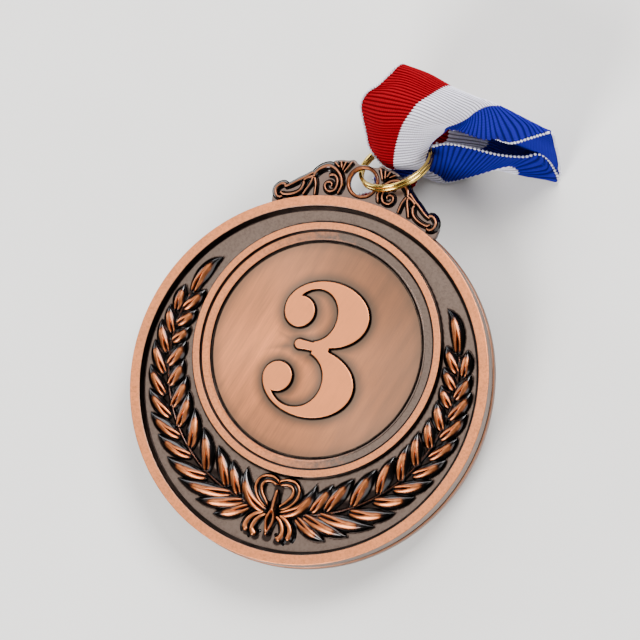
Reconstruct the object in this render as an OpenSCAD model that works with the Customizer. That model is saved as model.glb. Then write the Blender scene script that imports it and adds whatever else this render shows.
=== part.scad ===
// Third-place award medal: a cast disc with a laurel wreath, a numeral and a scrolled crown,
// hung by a two-turn split ring on a woven ribbon, and lying on the ribbon's folded length.
// Millimetres. The origin is the centre of the medal's flat back, +Y points to the crown and
// +Z out of the face.

/* [Medal] */
// Diameter of the front rim
medal_d = 60; // [58:1:62]
// Thickness from the flat back to the top of the rim
medal_t = 4; // [3.8:0.1:4.4]
// Width of the flat rim
rim_w = 1.9; // [1.5:0.1:2.2]
// Depth of the field below the rim
field_depth = 1.1; // [0.8:0.1:1.2]
// Thickness of the back flange
flange_t = 1.4; // [1:0.1:1.5]
// How far the back flange stands out past the front rim
flange_out = 0.2; // [0.1:0.1:0.4]

/* [Centre] */
// How far the centre sits towards the crown
centre_up = 5; // [4.5:0.1:5.2]
// Diameter of the raised bezel around the centre
bezel_d = 41.8; // [41:0.2:42]
// Width of the bezel's flat top
bezel_w = 1.35; // [1.1:0.05:1.5]
// Diameter of the brushed centre disc
disc_d = 35.4; // [35:0.2:35.6]
// Height of the numeral above the centre disc
numeral_h = 0.5; // [0.3:0.1:0.6]

/* [Wreath] */
// Radius of the circle that the stems follow
stem_r = 24.3; // [24:0.1:24.5]
// Pairs of leaves on each branch
leaf_pairs = 12; // [10:1:13]
// Height of the leaves above the field
leaf_h = 1.15; // [0.8:0.05:1.2]

/* [Crown] */
// Distance from the medal's centre to the eyelet's centre
eyelet_y = 33.1; // [33:0.1:33.4]
// Radius of the eyelet's hole
eyelet_r = 2.15; // [2.1:0.05:2.2]
// Outer radius of the eyelet
eyelet_outer = 2.85; // [2.8:0.05:2.9]
// Thickness of the crown's backing plate
plate_t = 0.9; // [0.8:0.1:0.9]

/* [Split ring] */
// Outside diameter of the split ring
ring_od = 12.75; // [12.7:0.05:12.8]
// Diameter of its wire
wire_d = 0.75; // [0.65:0.05:0.8]

/* [Ribbon] */
// Width of the ribbon with its picot edges
ribbon_w = 26.4; // [26:0.1:26.6]
// Thickness that stands for the cloth and its folds
cloth_t = 0.6; // [0.4:0.1:0.7]
// Length of the folded hank
hank_len = 46; // [42:1:48]
// Height of the folded hank with its band
hank_h = 6.6; // [6.4:0.1:6.6]
// Thickness of the paper band
band_t = 0.15; // [0.1:0.05:0.2]
// Width of the paper band
band_w = 12; // [8:1:16]

/* [Hidden] */

copper = [0.72, 0.46, 0.34];
bronze = [0.42, 0.33, 0.29];
dark = [0.16, 0.12, 0.11];
brass = [0.78, 0.65, 0.35];
blue = [0.1, 0.2, 0.6];
red = [0.72, 0.05, 0.08];
white = [0.88, 0.87, 0.9];

medal_r = medal_d / 2;
groove_h = 0.3;
groove_in = 0.25;
rim_slope = 0.5;
field_z = medal_t - field_depth;
bezel_z = medal_t - 0.15;
cove_z = medal_t - 0.6;
disc_z = medal_t - 0.75;
pocket_z = flange_t + groove_h;
bezel_r = bezel_d / 2;
disc_r = disc_d / 2;
disc_gap = 0.12;
stem_y = 2.5;
first_leaf_a = 15;
leaf_step = 10.2;
leaf_shrink = 0.32;
plate_z = pocket_z + 0.1;
scroll_z = plate_z + plate_t;
scroll_h = 0.7;
eyelet_z = 1.6;
eyelet_t = 1.3;
eyelet_bevel = 0.3;
ring_at = [4.15, 37.35, 1.1];
ring_tilt = 40.5;
ring_turn = 118;
ring_r = (ring_od - wire_d) / 2;
wire_pitch = wire_d * 0.94;
fold_in = 3.6;
fold_out = 5.1;
fold_h = 2.8;
fold_angle = 84;
fold_turn = 305;
floor_z = -hank_h;
run_low = floor_z + cloth_t / 2;
run_high = run_low + cloth_t + 0.1;
rear_low = run_high + cloth_t + 0.1;

// The front leg rises from the ring, rolls over and comes down again to the run under the crown.
// Each row crosses the ribbon: red edge, red to white, white to blue, blue edge.
front_rows = [
    [[-1, 43, 7.5], [7.5, 42, 12.5], [15, 43.5, 11], [20, 44, 6.5]],
    [[-0.5, 45, 11.5], [8.5, 44.5, 15], [17.5, 44.5, 14], [26.5, 43.5, 12]],
    [[2.5, 47, 15], [11.5, 46.5, 16.5], [19.5, 46, 16.5], [30, 44.5, 15.5]],
    [[5.5, 50, 17], [14, 48.5, 17.5], [22, 47, 17.5], [32, 45, 17.5]],
    [[6, 51, 15], [15, 49, 15.5], [23, 47.5, 15.5], [32.5, 45, 15]],
    [[5.5, 50.5, 11], [14, 48.5, 11], [22, 46.5, 11], [31.5, 44.5, 10.5]],
    [[3.5, 49, 3], [12, 47.5, 3], [20, 45.5, 3.5], [30, 43.5, 3]],
    [[3, 48, -3], [11, 46, -3], [18.5, 44, -3], [29.5, 42.5, -2.5]],
    [[4, 44.5, run_high], [11.5, 43, run_high], [19, 41.5, run_high], [29, 41, run_high]]];
run_rows = [
    [[0, 38.5], [5, 38.5], [10, 38], [15, 37]],
    [[-6, 33], [-2, 33], [2.5, 32.5], [7, 32]],
    [[-9.5, 27.5], [-3.5, 27.5], [3.5, 27.5], [9.5, 27.5]],
    [[-13, 22.3], [-4.4, 22.3], [4.4, 22.3], [13, 22.3]]];
// The rear leg leaves the ring low: floor strip, crease, and blue edge up.
rear_rows = [
    [[10, 40.5, rear_low], [11, 37.5, rear_low], [16, 42, 2]],
    [[14, 41, rear_low], [14.5, 38.5, rear_low], [20, 42.2, 1.5]],
    [[18, 41, rear_low], [19, 39, rear_low], [24, 42.3, 0.8]],
    [[22, 41, rear_low], [23.5, 39, rear_low], [27, 42, -0.5]],
    [[25.5, 40.5, rear_low], [27, 39.2, rear_low], [28.6, 39.8, rear_low + 0.6]]];
rear_turn = [[4, 43.5, run_low], [11.5, 42.5, run_low], [19, 41.5, run_low], [28, 41, run_low]];

// A closed solid around a sheet that is given as rows of points across its width
function row_at(net, r) = net[max(0, min(len(net) - 1, r))];
function cell(net, r, c) = let (row = row_at(net, r)) row[max(0, min(len(row) - 1, c))];
function unit(v) = v / norm(v);
function sheet_normal(net, r, c) =
    unit(cross(cell(net, r, c + 1) - cell(net, r, c - 1), cell(net, r + 1, c) - cell(net, r - 1, c)));
module sheet_solid(net, t) {
    rows = len(net);
    cols = len(net[0]);
    count = rows * cols;
    upper = [for (r = [0:rows - 1], c = [0:cols - 1]) net[r][c] + sheet_normal(net, r, c) * t / 2];
    lower = [for (r = [0:rows - 1], c = [0:cols - 1]) net[r][c] - sheet_normal(net, r, c) * t / 2];
    function id(r, c) = r * cols + c;
    top = [for (r = [0:rows - 2], c = [0:cols - 2], k = [0:1])
        k == 0 ? [id(r, c), id(r + 1, c), id(r + 1, c + 1)] : [id(r, c), id(r + 1, c + 1), id(r, c + 1)]];
    under = [for (f = top) [f[2] + count, f[1] + count, f[0] + count]];
    rim = concat([for (c = [0:cols - 1]) id(0, c)], [for (r = [1:rows - 1]) id(r, cols - 1)],
        [for (c = [cols - 2:-1:0]) id(rows - 1, c)], [for (r = [rows - 2:-1:1]) id(r, 0)]);
    n = len(rim);
    wall = [for (i = [0:n - 1], k = [0:1]) let (a = rim[i], b = rim[(i + 1) % n])
        k == 0 ? [a, b, b + count] : [a, b + count, a + count]];
    polyhedron(concat(upper, lower), concat(top, under, wall));
}

// Smooth curve through hand-placed points, and the outline of a stroke that follows it
function mix(p, a, b, c, d, t) = 0.5 * (2 * p[b] + (p[c] - p[a]) * t
    + (2 * p[a] - 5 * p[b] + 4 * p[c] - p[d]) * t * t + (3 * p[b] - p[a] - 3 * p[c] + p[d]) * t * t * t);
function curve(p, steps) = let (last = len(p) - 1) concat([for (i = [0:last - 1], k = [0:steps - 1])
    mix(p, max(0, i - 1), i, i + 1, min(last, i + 2), k / steps)], [p[last]]);
function spiral(at, r0, r1, a0, a1, n) = [for (i = [0:n]) let (t = i / n, a = a0 + (a1 - a0) * t)
    at + (r0 + (r1 - r0) * t) * [cos(a), sin(a)]];
module stroke(p, w0, w1) {
    last = len(p) - 1;
    for (i = [0:last - 1])
        hull() {
            translate(p[i]) circle(d = w0 + (w1 - w0) * i / last, $fn = 16);
            translate(p[i + 1]) circle(d = w0 + (w1 - w0) * (i + 1) / last, $fn = 16);
        }
}
module ellipse(at, rx, ry) {
    polygon([for (i = [0:71]) at + [rx * cos(5 * i), ry * sin(5 * i)]]);
}

module back_plate() {
    r = medal_r + flange_out;
    color(bronze) rotate_extrude($fn = 180)
        polygon([[0, 0], [r - 0.15, 0], [r, 0.15], [r, flange_t - 0.15], [r - 0.15, flange_t],
            [0, flange_t]]);
}

module medal_body() {
    inner = medal_r - rim_w;
    color(copper) difference() {
        rotate_extrude($fn = 180)
            polygon([[0, flange_t], [medal_r - groove_in, flange_t], [medal_r - groove_in, pocket_z],
                [medal_r, pocket_z], [medal_r, medal_t - 0.15], [medal_r - 0.15, medal_t],
                [inner, medal_t], [inner - rim_slope, field_z], [0, field_z]]);
        translate([0, centre_up, pocket_z]) cylinder(r = bezel_r, h = medal_t, $fn = 180);
    }
}

module centre_bezel() {
    flat_in = bezel_r - bezel_w;
    lip = disc_r + 0.4;
    color(copper) translate([0, centre_up, 0]) rotate_extrude($fn = 180)
        polygon([[disc_r, pocket_z], [bezel_r, pocket_z], [bezel_r, bezel_z - 0.15],
            [bezel_r - 0.15, bezel_z], [flat_in, bezel_z], [flat_in - 0.1, cove_z],
            [lip, cove_z - 0.1], [disc_r + 0.15, cove_z], [disc_r, cove_z - 0.1]]);
}

module centre_disc() {
    color(copper) translate([0, centre_up, pocket_z])
        cylinder(r = disc_r - disc_gap, h = disc_z - pocket_z, $fn = 180);
}

// One bowl of the numeral: a wide ring of two ellipses with a ball at its open end
module numeral_bowl(outer_at, outer_x, outer_y, inner_at, inner_x, inner_y, ball_at, ball_r, mouth_y) {
    difference() {
        ellipse(outer_at, outer_x, outer_y);
        ellipse(inner_at, inner_x, inner_y);
        translate([-9, mouth_y]) square([8.4, 5.6]);
    }
    translate(ball_at) circle(r = ball_r, $fn = 64);
}

module numeral_three() {
    color(copper) translate([0, 0, disc_z]) linear_extrude(numeral_h) {
        numeral_bowl([0.3, 10.8], 7.2, 5.35, [-1.6, 10.3], 3.8, 4.3, [-4.3, 10.4], 2.55, 4.8);
        numeral_bowl([0.1, -0.5], 7.85, 5.65, [-1.7, -0.3], 4.15, 4.75, [-5.05, -0.5], 2.6, -0.4);
        stroke([[-2.9, 5.25], [1.2, 5.3]], 1.4, 1.2);
    }
}

// A leaf is a low ridged solid from its base to its tip, on the field
module leaf(base, tip, w, h) {
    along = tip - base;
    side = unit([-along[1], along[0]]);
    outline = [base, base + along * 0.3 + side * w * 0.42, base + along * 0.58 + side * w * 0.5,
        base + along * 0.84 + side * w * 0.27, tip, base + along * 0.84 - side * w * 0.27,
        base + along * 0.58 - side * w * 0.5, base + along * 0.3 - side * w * 0.42];
    ridge = [base + along * 0.22, base + along * 0.6, base + along * 0.86];
    edge_z = field_z + h * 0.35;
    points = concat([for (p = outline) [p[0], p[1], field_z]], [for (p = outline) [p[0], p[1], edge_z]],
        [for (i = [0:2]) [ridge[i][0], ridge[i][1], field_z + h * [0.75, 1, 0.8][i]]]);
    sides = [for (i = [0:7], k = [0:1]) let (j = (i + 1) % 8)
        k == 0 ? [j + 8, i + 8, i] : [j, j + 8, i]];
    crown = [[9, 16, 8], [10, 16, 9], [17, 16, 10], [11, 17, 10], [18, 17, 11], [12, 18, 11],
        [13, 18, 12], [17, 18, 13], [14, 17, 13], [16, 17, 14], [15, 16, 14], [8, 16, 15]];
    polyhedron(points, concat([[for (i = [7:-1:0]) i]], sides, crown));
}

// Angles are measured at the stem circle's centre from straight down towards the tip
function stem_angle(i) = first_leaf_a + leaf_step * i - leaf_shrink * i * (i - 1) / 2;
function on_stem(a, out) = [0, stem_y] + (stem_r + out) * [-sin(a), -cos(a)];
function leaf_len(i) = 7.2 - 0.28 * i;
function leaf_dir(a, splay) = [-cos(a + splay), sin(a + splay)];

module laurel_branch() {
    last_a = stem_angle(leaf_pairs);
    stem = [for (i = [0:24]) on_stem(8 + (last_a - 8) * i / 24, 0)];
    translate([0, 0, field_z]) linear_extrude(leaf_h * 0.4) stroke(stem, 0.8, 0.5);
    for (i = [0:leaf_pairs - 1]) {
        a = stem_angle(i);
        outer_base = on_stem(a - 3, 0.1);
        inner_base = on_stem(a, -0.1);
        leaf(outer_base, outer_base + leaf_len(i) * leaf_dir(a - 3, -16), 2.6 - 0.05 * i, leaf_h);
        leaf(inner_base, inner_base + leaf_len(i) * 0.84 * leaf_dir(a, 38), 2.5 - 0.05 * i, leaf_h);
    }
    tip_base = on_stem(last_a - 2, 0);
    leaf(tip_base, tip_base + 7.2 * leaf_dir(last_a, 11), 2.6, leaf_h);
}

module laurel_left() {
    color(dark) laurel_branch();
}

module laurel_right() {
    color(dark) mirror([1, 0, 0]) laurel_branch();
}

// Half of the bow: a heart loop, two curled tails and half of the knot's outline
module bow_half() {
    stroke(curve([[0, -17.2], [-1.6, -16.9], [-3, -17.4], [-3.2, -18.7], [-2.2, -20.2], [-0.7, -21.1]], 6),
        0.8, 0.9);
    stroke(curve([[-0.9, -22.2], [-2.4, -23], [-3, -24.4], [-2.5, -25.6], [-1.9, -26.2]], 6), 0.8, 1.5);
    stroke(curve([[-1.2, -22], [-3.1, -22.8], [-4, -24.3], [-3.9, -25.6]], 6), 0.7, 1.1);
}

module laurel_bow() {
    knot = [[0, -18.4], [-0.6, -18.9], [-0.6, -20.4], [-0.95, -21.8], [-0.95, -22.8], [-0.6, -24],
        [-0.75, -25.1], [0, -25.9]];
    color(dark) translate([0, 0, field_z]) linear_extrude(leaf_h * 0.9) {
        bow_half();
        mirror([1, 0]) bow_half();
        polygon(concat(knot, [for (i = [len(knot) - 2:-1:1]) [-knot[i][0], knot[i][1]]]));
    }
}

function crown_edge() = curve([[-14.4, 27.4], [-14.1, 29.2], [-13.3, 30.2], [-11.8, 30], [-10.4, 31.1],
    [-9.2, 32.4], [-8.1, 33.7], [-6.6, 34.9], [-5.2, 35.6], [-3.6, 36.3], [-1.9, 36.4], [0, 35.9]], 3);

module crown_plate() {
    edge = crown_edge();
    last = len(edge) - 1;
    color(bronze) difference() {
        translate([0, 0, plate_z]) linear_extrude(plate_t)
            polygon(concat(edge, [for (i = [last - 1:-1:0]) [-edge[i][0], edge[i][1]]]));
        cylinder(r = medal_r, h = medal_t * 2, $fn = 180);
        translate([0, eyelet_y, 0]) cylinder(r = eyelet_outer, h = medal_t, $fn = 72);
    }
}

// Strokes of the left half of the crown's relief, as flat shapes
module crown_strokes() {
    stroke(curve([[-3.5, 31.6], [-3.5, 33.2], [-4.5, 34.3], [-6, 34.6], [-7.3, 34], [-8.3, 32.9],
        [-9.5, 31.6], [-10.9, 30.4], [-12.3, 29.6], [-13.4, 29.5]], 5), 0.7, 0.9);
    stroke(spiral([-4.6, 31.7], 0.35, 1.3, 60, -330, 22), 0.5, 0.55);
    stroke(curve([[-13.4, 29.5], [-13.9, 28.9], [-13.4, 28.1], [-12.4, 28]], 5), 0.9, 0.5);
    stroke(curve([[-8.3, 32.7], [-7.3, 31.6], [-6.9, 29.9]], 5), 0.6, 0.5);
    stroke(curve([[-9.6, 31.4], [-9.1, 30.4], [-9.2, 29.4]], 5), 0.6, 0.45);
    for (i = [0:3])
        stroke([[-2.7 - 0.55 * i, 34.75 + 0.02 * i], [-2.05 - 1.05 * i, 36 - 0.1 * i * i]], 0.4, 0.7);
}

module crown_scroll() {
    difference() {
        translate([0, 0, scroll_z]) linear_extrude(scroll_h) crown_strokes();
        cylinder(r = medal_r, h = medal_t * 2, $fn = 180);
        translate([0, eyelet_y, 0]) cylinder(r = eyelet_outer, h = medal_t * 2, $fn = 72);
    }
}

module crown_scroll_left() {
    color(copper) crown_scroll();
}

module crown_scroll_right() {
    color(copper) mirror([1, 0, 0]) crown_scroll();
}

module eyelet() {
    color(copper) translate([0, eyelet_y, eyelet_z]) rotate_extrude($fn = 72)
        polygon([[eyelet_r + eyelet_bevel, 0], [eyelet_outer - eyelet_bevel, 0],
            [eyelet_outer, eyelet_bevel], [eyelet_outer, eyelet_t - eyelet_bevel],
            [eyelet_outer - eyelet_bevel, eyelet_t], [eyelet_r + eyelet_bevel, eyelet_t],
            [eyelet_r, eyelet_t - eyelet_bevel], [eyelet_r, eyelet_bevel]]);
}

// Two turns of wire side by side, seen as one ring
module split_ring() {
    color(brass) translate(ring_at) rotate([0, ring_tilt, ring_turn]) rotate_extrude($fn = 96) {
        for (side = [-1, 1])
            translate([ring_r, side * wire_pitch / 2]) circle(d = wire_d, $fn = 32);
    }
}

// The bunched cloth inside the ring
module ribbon_ring_fold() {
    color(red) translate(ring_at) rotate([0, ring_tilt, ring_turn])
        rotate([0, 0, fold_turn - fold_angle / 2]) rotate_extrude(angle = fold_angle, $fn = 72)
            translate([fold_in, -fold_h / 2]) square([fold_out - fold_in, fold_h]);
}

function flat_run(z) = [for (row = run_rows) [for (p = row) [p[0], p[1], z]]];

module ribbon_front_leg() {
    color(white) sheet_solid(concat(front_rows, flat_run(run_high)), cloth_t);
}

module ribbon_rear_leg() {
    color(blue) sheet_solid(rear_rows, cloth_t);
}

module ribbon_rear_run() {
    color(blue) sheet_solid(concat([rear_turn], flat_run(run_low)), cloth_t);
}

// The unseen length, folded to and fro under the medal
module ribbon_hank() {
    half_h = hank_h / 2 - band_t;
    straight = hank_len / 2 - half_h;
    color(blue) translate([-ribbon_w / 2, 0, -hank_h / 2]) rotate([90, 0, 90]) linear_extrude(ribbon_w) {
        translate([-straight, -half_h]) square([2 * straight, 2 * half_h]);
        for (end = [-straight, straight])
            translate([end, 0]) circle(r = half_h, $fn = 48);
    }
}

module hank_band() {
    w = ribbon_w + 2 * band_t;
    color(white) difference() {
        translate([-w / 2, -band_w / 2, -hank_h]) cube([w, band_w, hank_h]);
        translate([-ribbon_w / 2, -band_w, band_t - hank_h])
            cube([ribbon_w, 2 * band_w, hank_h - 2 * band_t]);
    }
}

// Two rows of thread that close the ribbon's loop, on top of the run beside the hank
module seam_stitching() {
    for (row = [0, 1])
        color(white) translate([-8, 24.4 + 1.6 * row, run_high + cloth_t / 2]) cube([16, 0.5, 0.2]);
}

back_plate();
medal_body();
centre_bezel();
centre_disc();
numeral_three();
laurel_left();
laurel_right();
laurel_bow();
crown_plate();
crown_scroll_left();
crown_scroll_right();
eyelet();
split_ring();
ribbon_ring_fold();
ribbon_front_leg();
ribbon_rear_leg();
ribbon_rear_run();
ribbon_hank();
hank_band();
seam_stitching();
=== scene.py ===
"""The looks of an award medal, its split ring and its folded ribbon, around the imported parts.

Shapes are worked out in millimetres in the parts' own frame, and each mesh is made in metres.
"""

import math

import bmesh
import bpy
import numpy as np
from mathutils import Matrix, Vector
from mathutils.geometry import tessellate_polygon


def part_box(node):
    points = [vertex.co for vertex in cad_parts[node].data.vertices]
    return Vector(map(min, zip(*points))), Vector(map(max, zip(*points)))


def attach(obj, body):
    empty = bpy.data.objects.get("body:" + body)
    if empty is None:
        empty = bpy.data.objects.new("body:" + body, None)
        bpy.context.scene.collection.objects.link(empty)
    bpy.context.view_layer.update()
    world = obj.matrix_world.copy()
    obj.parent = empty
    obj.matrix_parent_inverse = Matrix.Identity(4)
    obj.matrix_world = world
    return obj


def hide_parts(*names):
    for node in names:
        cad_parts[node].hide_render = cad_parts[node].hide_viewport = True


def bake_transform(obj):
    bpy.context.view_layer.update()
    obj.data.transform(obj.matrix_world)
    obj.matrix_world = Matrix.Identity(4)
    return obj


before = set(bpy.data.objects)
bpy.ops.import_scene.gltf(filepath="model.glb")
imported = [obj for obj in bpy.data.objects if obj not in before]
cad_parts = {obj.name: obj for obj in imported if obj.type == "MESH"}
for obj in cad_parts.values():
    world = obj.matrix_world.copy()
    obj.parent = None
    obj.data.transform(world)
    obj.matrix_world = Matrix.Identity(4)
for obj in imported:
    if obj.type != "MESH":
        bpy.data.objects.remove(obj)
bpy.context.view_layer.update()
random = np.random.default_rng(7)

MM = 0.001


def low(node):
    """A node's lowest corner, in millimetres."""
    return np.array(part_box(node)[0]) / MM


def high(node):
    """A node's highest corner, in millimetres."""
    return np.array(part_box(node)[1]) / MM


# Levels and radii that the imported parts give
RIM_R, _, RIM_Z = high("medal_body")
FLANGE_R, _, FLANGE_Z = high("back_plate")
FIELD_Z = low("laurel_left")[2]
LEAF_H = high("laurel_left")[2] - FIELD_Z
BEZEL_R, _, BEZEL_Z = high("centre_bezel")
CENTRE = np.array([0, (high("centre_bezel")[1] + low("centre_bezel")[1]) / 2])
DISC_R, _, DISC_Z = high("centre_disc")
NUMERAL_Z = high("numeral_three")[2]
PLATE_LOW, PLATE_Z = low("crown_plate")[2], high("crown_plate")[2]
SCROLL_Z = high("crown_scroll_left")[2]
EYELET_LOW = low("eyelet")[2]
EYELET_R, _, EYELET_TOP = high("eyelet")
EYELET_Y = (high("eyelet")[1] + low("eyelet")[1]) / 2
FLOOR_Z = low("hank_band")[2]
HANK_Y = high("ribbon_hank")[1]
BAND_X, BAND_Y, _ = high("hank_band")

RIM_W = 1.66
WALL_W = 0.5  # the slope from the rim down to the field
GROOVE_Z = FLANGE_Z + 0.3
PAINTED_HIGHLIGHT_AT, PAINTED_HIGHLIGHT_R = (-7, 1.5), 14  # centre and reach of a painted highlight that makes the disc brighter towards its left
RIBBON_W = 26.4
CLOTH_T = 0.28
RIB_PITCH, RIB_H, ROWS_PER_RIB = 0.7, 0.09, 5
YARN_PITCH = 0.34
RED_PICOT = (0.6, 0.52, 0.25, 0.15)  # pitch, length, radius and lean in radians
BLUE_PICOT = (0.66, 0.5, 0.23, 0.35)


# ---- curves and meshes

def smooth_step(a, b, x):
    t = np.clip((np.asarray(x, float) - a) / (b - a), 0, 1)
    return t * t * (3 - 2 * t)


def spline(points, per_span=8):
    """A smooth curve through given points."""
    p = np.asarray(points, float)
    p = np.concatenate([[2 * p[0] - p[1]], p, [2 * p[-1] - p[-2]]])
    t = np.arange(per_span) / per_span
    t = t.reshape((-1,) + (1,) * (p.ndim - 1))
    spans = []
    for a, b, c, d in zip(p[:-3], p[1:-2], p[2:-1], p[3:]):
        curve = 2 * b + (c - a) * t + (2 * a - 5 * b + 4 * c - d) * t**2 + (3 * b - a - 3 * c + d) * t**3
        spans.append(curve / 2)
    return np.concatenate(spans + [p[-2:-1]])


def lengths(path):
    """The distance along a path at each of its points."""
    return np.r_[0, np.cumsum(np.linalg.norm(np.diff(path, axis=0), axis=1))]


def resampled(values, along, at):
    """Rows of values that are known at the distances along, at other distances."""
    return np.column_stack([np.interp(at, along, column) for column in values.T])


def evenly(path, count):
    """The same path with evenly spaced points."""
    along = lengths(path)
    return resampled(path, along, np.linspace(0, along[-1], count))


def turns(count):
    """Evenly spaced angles round a full turn."""
    return np.linspace(0, 2 * math.pi, count, endpoint=False)


def polar_grid(radii, segments):
    """Points in rings about the origin, ring by ring."""
    angle, radii = turns(segments), np.asarray(radii)[:, None]
    return np.stack([radii * np.cos(angle), radii * np.sin(angle)], axis=-1).reshape(-1, 2)


def grid_faces(rows, cols, wrap_rows=False, wrap_cols=False):
    """Quads between the points of a grid that is stored row by row."""
    r = np.arange(rows if wrap_rows else rows - 1)[:, None]
    c = np.arange(cols if wrap_cols else cols - 1)[None, :]
    r2, c2 = (r + 1) % rows, (c + 1) % cols
    quads = np.stack([r * cols + c, r * cols + c2, r2 * cols + c2, r2 * cols + c], axis=-1)
    return [tuple(q) for q in quads.reshape(-1, 4).tolist()]


def tube_faces(rows, cols):
    """The faces of a tube of rings, with a cap on each end as the last two."""
    end = rows * cols - 1
    return grid_faces(rows, cols, wrap_cols=True) + [tuple(range(cols)), tuple(range(end, end - cols, -1))]


def placed(name, data):
    """A new object in the scene."""
    obj = bpy.data.objects.new(name, data)
    bpy.context.scene.collection.objects.link(obj)
    return obj


def make_piece(name, parts, material, stands_for=(), body="medal", recalculate=True):
    """One object from several (points in mm, faces, {attribute: values}) parts."""
    points, faces, values, start = [], [], {}, 0
    for verts, part_faces, attributes in parts:
        points.append(np.asarray(verts, float))
        faces += [tuple(i + start for i in f) for f in part_faces]
        for key, column in attributes.items():
            values.setdefault(key, []).append(np.asarray(column, float).ravel())
        start += len(verts)
    mesh = bpy.data.meshes.new(name)
    mesh.from_pydata((np.concatenate(points) * MM).tolist(), [], faces)
    for key, columns in values.items():
        mesh.attributes.new(key, "FLOAT", "POINT").data.foreach_set("value", np.concatenate(columns))
    if recalculate:
        shell = bmesh.new()
        shell.from_mesh(mesh)
        bmesh.ops.recalc_face_normals(shell, faces=shell.faces)
        shell.to_mesh(mesh)
        shell.free()
    mesh.polygons.foreach_set("use_smooth", [True] * len(mesh.polygons))
    mesh.materials.append(material)
    obj = placed(name, mesh)
    if body:
        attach(obj, body)
    if stands_for:
        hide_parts(*stands_for)
    return obj


def rounded(corners, tones, closed=False, steps=4, support=0.03):
    """A lathe outline with its corners rounded. corners are (r, z, rounding) and tones one per side."""
    n = len(corners)
    out = []
    for i, (r, z, size) in enumerate(corners):
        here = np.array([r, z])
        if not closed and i in (0, n - 1):
            out.append((*here, tones[min(i, n - 2)]))
            continue
        before = np.array(corners[i - 1][:2])
        after = np.array(corners[(i + 1) % n][:2])
        back, ahead = before - here, after - here
        len_back, len_ahead = np.linalg.norm(back), np.linalg.norm(ahead)
        cut = min(size, 0.4 * len_back, 0.4 * len_ahead)
        a, b = here + back / len_back * cut, here + ahead / len_ahead * cut
        tone_a, tone_b = tones[i - 1], tones[i % len(tones)]
        gap = min(support, 0.08 * len_back, 0.08 * len_ahead)
        out.append((*(a + back / len_back * gap), tone_a))
        for k in range(steps + 1):
            t = k / steps
            point = (1 - t) ** 2 * a + 2 * t * (1 - t) * here + t**2 * b
            out.append((*point, tone_a + (tone_b - tone_a) * t))
        out.append((*(b + ahead / len_ahead * gap), tone_b))
    return np.array(out)


def lathe(outline, centre=(0, 0), segments=300, closed=False):
    """A part turned from an outline of (r, z, tone) rows about a vertical line."""
    r, z, tone = outline.T
    verts = np.column_stack([polar_grid(r, segments) + centre, np.repeat(z, segments)])
    faces = grid_faces(len(r), segments, True, True) if closed else tube_faces(len(r), segments)
    return verts, faces, {"tone": np.repeat(tone, segments)}


def relief(path, half_width, height, section, base, sink=0.06):
    """A raised stroke along a flat path. section(t) gives (side share, height share, tone) rows,
    where a positive side share is on the left of the way along."""
    n = len(path)
    way = np.gradient(path, axis=0)
    way /= np.linalg.norm(way, axis=1)[:, None]
    side = np.column_stack([-way[:, 1], way[:, 0]])
    rings, tones = [], []
    for i, t in enumerate(np.linspace(0, 1, n)):
        share, lift, tone = section(t)
        xy = path[i] + np.outer(share * half_width[i], side[i])
        ring = np.column_stack([xy, base + lift * height[i]])
        feet = ring[[-1, 0]].copy()
        feet[:, 2] = base - sink
        rings.append(np.concatenate([ring, feet]))
        tones.append(np.r_[tone, 0, 0])
    return np.concatenate(rings), tube_faces(n, len(rings[0])), {"tone": np.concatenate(tones)}


def mirrored(part):
    """The same part on the other side of the medal."""
    verts, faces, attributes = part
    return verts * [-1, 1, 1], faces, attributes


def make_pair(name, parts, material, node):
    """A relief piece on the left and its mirror image on the right."""
    for side, half in (("left", parts), ("right", [mirrored(p) for p in parts])):
        make_piece(name + side, half, material, [node + side])


# ---- materials

def srgb(*parts):
    """A linear colour from sRGB parts of 0 to 255."""
    values = [p / 255 for p in parts]
    return [v / 12.92 if v <= 0.04045 else ((v + 0.055) / 1.055) ** 2.4 for v in values] + [1]


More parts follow.
